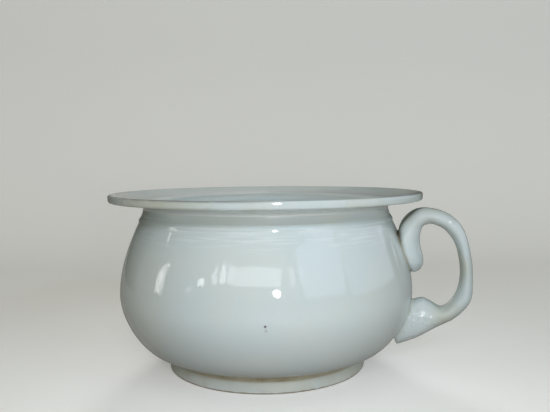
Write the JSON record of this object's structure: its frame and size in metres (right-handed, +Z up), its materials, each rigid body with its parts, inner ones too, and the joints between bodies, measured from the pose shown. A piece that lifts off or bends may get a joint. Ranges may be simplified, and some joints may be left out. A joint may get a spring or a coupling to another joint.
{
  "type": "chamber pot",
  "caption": "White glazed earthenware chamber pot: round-bellied bowl on a foot ring, wide everted rim and one ear-shaped loop handle.",
  "frame": {"origin": "on the pot's axis, on the plane that the foot ring stands on", "axes": "+Z up along the pot's axis, +X towards the handle, +Y to the left of someone who looks along +X"},
  "size_m": [0.2647, 0.23, 0.128],
  "materials": {
    "white_glaze": "glossy white glaze with a faint cool cast, lightly crazed",
    "foot_glaze": "glossy white glaze, slightly dulled and yellowed by handling",
    "stained_slip": "thin glaze over slip, stained tan by dirt"
  },
  "bodies": {
    "root": {"bowl": "white_glaze", "foot_ring": "foot_glaze", "foot_luting_slip": "stained_slip", "rim": "white_glaze", "handle": "white_glaze", "upper_luting_slip": "stained_slip", "lower_luting_slip": "stained_slip"}
  },
  "joints": []
}
